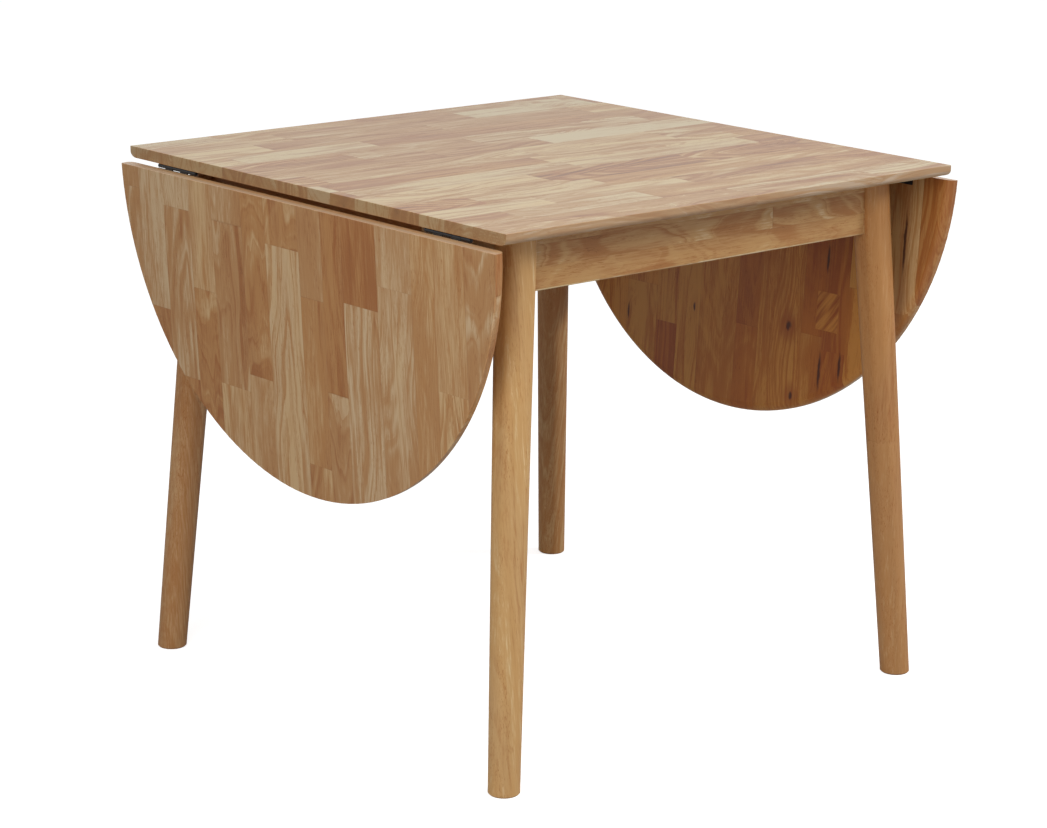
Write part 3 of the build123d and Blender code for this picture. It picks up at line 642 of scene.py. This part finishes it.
def plated_material(name, settings):
    """Zinc plated steel with a faint mottle."""
    material, nodes, shader = fresh_material(name)
    finish = nodes.group(shared_groups()["Rubbed finish"], Vector=object_place(nodes),
                         Wear=settings.wear)
    dull = [0.72 * part for part in settings.zinc]
    nodes.put(shader.inputs["Base Color"],
              nodes.mix(finish["Mottle"], opaque(settings.zinc), opaque(dull)))
    shader.inputs["Metallic"].default_value = 1.0
    nodes.put(shader.inputs["Roughness"], nodes.band(finish["Mottle"], 0.2, 0.8, 0.24, 0.42))
    relief(nodes, shader, finish["Height"], strength=0.15, distance=0.00008)
    return material


def dress(node, material):
    """Put a material on a piece of the frame, in every slot."""
    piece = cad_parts[node]
    if not piece.material_slots:
        piece.data.materials.append(material)
    for slot in piece.material_slots:
        slot.material = material


def nodes_ending(*endings):
    """Names of the frame's pieces that end in one of some words."""
    return [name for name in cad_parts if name.endswith(endings)]


# ---------------------------------------------------------------- operators
class TABLE_OT_top(bpy.types.Operator):
    """Finish the fixed top: staves along X, end grain on the hinge edges"""

    bl_idname = "table.top"
    bl_label = "Fixed top"

    def execute(self, context):
        wood = context.scene.table_wood
        (_, _, low), (_, _, high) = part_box("top_panel")
        # The top's side tint is a painted sheen on its front and back edges
        dress("top_panel", wood_material(
            "wood_top", wood, (0.0, 0.0, 0.0), (0.0, 0.0, -(low + high) / 2), wood.stave_width,
            wood.stave_length, seed=21, variety=0.95, figure=1.45, end_grain=0.6, coat=0.40,
            side_sheen_tint=(0.99, 1.05, 1.40), side_calm=0.55, tint=(0.95, 1.06, 1.08),
            under_shade_tints=UNDER_SHADE_TINTS["top_panel"], under_level=UNDER_LEVEL))
        return {"FINISHED"}


class TABLE_OT_leaves(bpy.types.Operator):
    """Finish the two leaves: staves square to the hinge edge"""

    bl_idname = "table.leaves"
    bl_label = "Leaves"

    def execute(self, context):
        wood = context.scene.table_wood
        for node, (side, seed, variety) in LEAF_BOARDS.items():
            turn = (0.0, side * (QUARTER + LEAF_TILT), 0.0)
            low, high = (Vector(corner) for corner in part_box(node))
            middle = Euler(turn).to_matrix() @ ((low + high) / 2)
            # The leaves' end tone is paler end grain, painted light on their hinge edges
            dress(node, wood_material(
                "wood_" + node, wood, turn, (0.0, 0.0, -middle.z), wood.stave_width,
                wood.stave_length, seed=seed, variety=variety, figure=0.8, end_grain=0.8,
                end_tone=LEAF_END_LIT, coat=0.40, under_shade_tints=UNDER_SHADE_TINTS[node],
                marks=LEAF_MARKS[node], patches=LEAF_PATCHES[node]))
        return {"FINISHED"}


class TABLE_OT_rails(bpy.types.Operator):
    """Finish the four rails, glued up in level layers"""

    bl_idname = "table.rails"
    bl_label = "Rails"

    def execute(self, context):
        wood = context.scene.table_wood
        for seed, node in enumerate(nodes_ending("_end_rail", "_side_rail")):
            turn = RAIL_TURNS["end" if node.endswith("_end_rail") else "side"]
            dress(node, wood_material(
                "wood_" + node, wood, turn, (0.0, RAIL_LAYER_SHIFT, 0.0), wood.rail_layer,
                RAIL_STAVE_SHARE * wood.stave_length, seed=123 + seed, variety=1.1, figure=1.15,
                streaking=1.0, tint=RAIL_TINT))
        return {"FINISHED"}


class TABLE_OT_legs(bpy.types.Operator):
    """Finish the four legs: plain wood with its grain along each leg"""

    bl_idname = "table.legs"
    bl_label = "Legs"

    def execute(self, context):
        wood = context.scene.table_wood
        for seed, node in enumerate(nodes_ending("_leg")):
            low, high = (Vector(corner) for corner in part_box(node))
            middle = (low + high) / 2
            way_x = math.copysign(1.0, middle.x)
            way_y = math.copysign(1.0, middle.y)
            splay_x = way_x * math.atan2(high.x - low.x - LEG_HEAD, high.z - low.z)
            splay_y = way_y * math.atan2(high.y - low.y - LEG_HEAD, high.z - low.z)
            # The leg's tint is its wood tone with painted light on the left front leg and painted
            # shade on the rear legs
            dress(node, wood_material(
                "wood_" + node, wood, (-splay_y, QUARTER - splay_x, 0.0), (0.0, 0.0, 0.0),
                WHOLE_WIDTH, WHOLE_LENGTH, seed=51 + seed, variety=0.3, figure=0.5,
                streaking=0.1, tint=LEG_LIGHT_SHADE_TINTS[node]))
        return {"FINISHED"}


class TABLE_OT_blocks(bpy.types.Operator):
    """Finish the hidden corner blocks and cleats in plain unvarnished wood"""

    bl_idname = "table.blocks"
    bl_label = "Blocks and cleats"

    def execute(self, context):
        wood = context.scene.table_wood
        for ending, turn in BLOCK_TURNS.items():
            for seed, node in enumerate(nodes_ending(ending)):
                dress(node, wood_material(
                    "wood_" + node, wood, turn, (0.0, 0.0, 0.0), WHOLE_WIDTH, WHOLE_LENGTH,
                    seed=71 + seed, variety=0.5, coat=0.0))
        return {"FINISHED"}


class TABLE_OT_hinges(bpy.types.Operator):
    """Paint the hinges, their pins and their screws black"""

    bl_idname = "table.hinges"
    bl_label = "Hinges"

    def execute(self, context):
        paint = painted_material("black_hinge_paint", context.scene.table_metal)
        for node in nodes_ending("_plate", "_pin", "hinge_top_screws", "leaf_hinge_screws"):
            dress(node, paint)
        return {"FINISHED"}


class TABLE_OT_stays(bpy.types.Operator):
    """Paint the folding stays black and leave their studs and rivets plated"""

    bl_idname = "table.stays"
    bl_label = "Folding stays"

    def execute(self, context):
        metal = context.scene.table_metal
        paint = painted_material("black_stay_paint", metal)
        for node in nodes_ending("_stay_arm", "_stay_bracket", "_stay_track", "_track_screws",
                                 "_bracket_screws"):
            dress(node, paint)
        plate = plated_material("zinc_stays", metal)
        for node in nodes_ending("_stay_stud", "stay_rivets"):
            dress(node, plate)
        return {"FINISHED"}


class TABLE_OT_fasteners(bpy.types.Operator):
    """Plate the bolts, washers, nuts and frame screws"""

    bl_idname = "table.fasteners"
    bl_label = "Bolts and screws"

    def execute(self, context):
        plate = plated_material("zinc_fasteners", context.scene.table_metal)
        for node in nodes_ending("hanger_bolts", "bolt_washers", "bolt_nuts", "block_screws",
                                 "top_screws"):
            if not node.endswith("hinge_top_screws"):
                dress(node, plate)
        return {"FINISHED"}


def floor_mesh(radius):
    """A round floor at height 0: rings of points at radius times u squared, turned by angle v."""
    rings, sectors = 24, 96
    u = (np.arange(1, rings + 1) / rings)[:, None]
    v = (np.arange(sectors) / sectors * 2 * np.pi)[None, :]
    x = radius * u ** 2 * np.cos(v)
    y = radius * u ** 2 * np.sin(v)
    points = np.stack([x, y, np.zeros_like(x)], axis=-1).reshape(-1, 3)
    ring = np.arange(rings - 1)[:, None] * sectors
    sector = np.arange(sectors)[None, :]
    after = (sector + 1) % sectors
    corners = (ring + sector, ring + sectors + sector, ring + sectors + after, ring + after)
    quads = np.stack(corners, axis=-1).reshape(-1, 4)
    mesh = bpy.data.meshes.new("floor")
    mesh.from_pydata(points.tolist(), [], [list(range(sectors))] + quads.tolist())
    mesh.update()
    return mesh


def floor_material(settings):
    """Pale floor that keeps the shadow and isn't seen from below.

    It lights the table as a plain floor does; what the camera sees is lifted towards white."""
    material = bpy.data.materials.new("floor_paint")
    material.use_nodes = True
    material.node_tree.nodes.clear()
    nodes = Nodes(material.node_tree)
    output = nodes.add("ShaderNodeOutputMaterial")
    matt = nodes.add("ShaderNodeBsdfDiffuse")
    white = nodes.add("ShaderNodeEmission")
    white.inputs["Color"].default_value = opaque(WHITE)
    seen = nodes.add("ShaderNodeLightPath").outputs["Is Camera Ray"]
    paint = nodes.mix(seen, opaque(settings.floor), opaque(settings.floor_seen))
    nodes.put(matt.inputs["Color"], paint)
    nodes.put(white.inputs["Strength"], nodes.math("MULTIPLY", seen, settings.floor_lift))
    lifted = nodes.add("ShaderNodeAddShader")
    nodes.put(lifted.inputs[0], matt.outputs[0])
    nodes.put(lifted.inputs[1], white.outputs[0])
    clear = nodes.add("ShaderNodeBsdfTransparent")
    one_sided = nodes.add("ShaderNodeMixShader")
    nodes.put(one_sided.inputs[0], nodes.add("ShaderNodeNewGeometry").outputs["Backfacing"])
    nodes.put(one_sided.inputs[1], lifted.outputs[0])
    nodes.put(one_sided.inputs[2], clear.outputs[0])
    nodes.put(output.inputs["Surface"], one_sided.outputs[0])
    return material


def room_light(settings):
    """Even white light from all round; the camera and glossy surfaces see plain white."""
    world = bpy.data.worlds.new("studio")
    world.use_nodes = True
    world.node_tree.nodes.clear()
    nodes = Nodes(world.node_tree)
    output = nodes.add("ShaderNodeOutputWorld")
    rays = nodes.add("ShaderNodeLightPath").outputs
    lit = nodes.add("ShaderNodeBackground")
    lit.inputs["Color"].default_value = opaque(WHITE)
    lit.inputs["Strength"].default_value = settings.sky
    seen = nodes.add("ShaderNodeBackground")
    seen.inputs["Color"].default_value = opaque(WHITE)
    mixed = nodes.add("ShaderNodeMixShader")
    mirror_like = nodes.math("MAXIMUM", rays["Is Glossy Ray"], rays["Is Transmission Ray"])
    nodes.put(mixed.inputs[0], nodes.math("MAXIMUM", rays["Is Camera Ray"], mirror_like))
    nodes.put(mixed.inputs[1], lit.outputs[0])
    nodes.put(mixed.inputs[2], seen.outputs[0])
    nodes.put(output.inputs["Surface"], mixed.outputs[0])
    return world


def soft_lamp(name, power, place, aim, size):
    """A large square lamp at a place, facing a point."""
    data = bpy.data.lights.new(name, "AREA")
    data.energy = power
    data.size = size
    lamp = bpy.data.objects.new(name, data)
    lamp.visible_glossy = False
    bpy.context.scene.collection.objects.link(lamp)
    facing = (Vector(aim) - Vector(place)).to_track_quat("-Z", "Y").to_matrix().to_4x4()
    lamp.matrix_world = Matrix.Translation(place) @ facing


def camera_turn(heading, dip, roll):
    """A camera's turn from its heading to the right of +Y, its dip below level and its roll."""
    ahead = Vector((math.sin(heading) * math.cos(dip), math.cos(heading) * math.cos(dip),
                    -math.sin(dip)))
    right = Vector((math.cos(heading), -math.sin(heading), 0.0))
    up = right.cross(ahead)
    tilted_right = math.cos(roll) * right + math.sin(roll) * up
    tilted_up = -math.sin(roll) * right + math.cos(roll) * up
    return Matrix((tilted_right, tilted_up, -ahead)).transposed().to_4x4()


class TABLE_OT_stage(bpy.types.Operator):
    """Set the camera, the floor, the lamps and the light of the room"""

    bl_idname = "table.stage"
    bl_label = "Stage"

    def execute(self, context):
        settings = context.scene.table_stage
        scene = context.scene
        scene.view_settings.view_transform = "Standard"
        floor = bpy.data.objects.new("floor", floor_mesh(settings.floor_size))
        floor.data.materials.append(floor_material(settings))
        scene.collection.objects.link(floor)
        scene.world = room_light(settings)
        for name, (place, aim, size) in LAMPS.items():
            soft_lamp("lamp_" + name, getattr(settings, name), place, aim, size)
        data = bpy.data.cameras.new("camera")
        data.sensor_fit = "HORIZONTAL"
        data.sensor_width = SENSOR_WIDTH
        data.lens = settings.lens
        data.clip_end = VIEW_DISTANCE
        camera = bpy.data.objects.new("camera", data)
        scene.collection.objects.link(camera)
        turn = camera_turn(settings.heading, settings.dip, settings.roll)
        camera.matrix_world = Matrix.Translation(settings.eye) @ turn
        scene.camera = camera
        return {"FINISHED"}


OPERATORS = (TABLE_OT_top, TABLE_OT_leaves, TABLE_OT_rails, TABLE_OT_legs, TABLE_OT_blocks,
             TABLE_OT_hinges, TABLE_OT_stays, TABLE_OT_fasteners, TABLE_OT_stage)


class TABLE_PT_panel(bpy.types.Panel):
    """Buttons and settings of the table"""

    bl_idname = "TABLE_PT_panel"
    bl_label = "Drop leaf table"
    bl_space_type = "VIEW_3D"
    bl_region_type = "UI"
    bl_category = "Table"

    def draw(self, context):
        layout = self.layout
        for operator in OPERATORS:
            layout.operator(operator.bl_idname)
        for settings in (context.scene.table_wood, context.scene.table_metal,
                         context.scene.table_stage):
            box = layout.box()
            for name in settings.bl_rna.properties.keys():
                if name not in ("rna_type", "name"):
                    box.prop(settings, name)


SETTINGS = {"table_wood": TableWoodSettings, "table_metal": TableMetalSettings,
            "table_stage": TableStageSettings}


def register():
    """Register the settings, operators and panel."""
    for name, kind in SETTINGS.items():
        bpy.utils.register_class(kind)
        setattr(bpy.types.Scene, name, PointerProperty(type=kind))
    for kind in (*OPERATORS, TABLE_PT_panel):
        bpy.utils.register_class(kind)


def unregister():
    """Take the settings, operators and panel away again."""
    for kind in (TABLE_PT_panel, *reversed(OPERATORS)):
        bpy.utils.unregister_class(kind)
    for name, kind in SETTINGS.items():
        delattr(bpy.types.Scene, name)
        bpy.utils.unregister_class(kind)


def main():
    """Run every operator in order."""
    register()
    for operator in OPERATORS:
        family, action = operator.bl_idname.split(".")
        getattr(getattr(bpy.ops, family), action)()


if __name__ == "__main__":
    main()
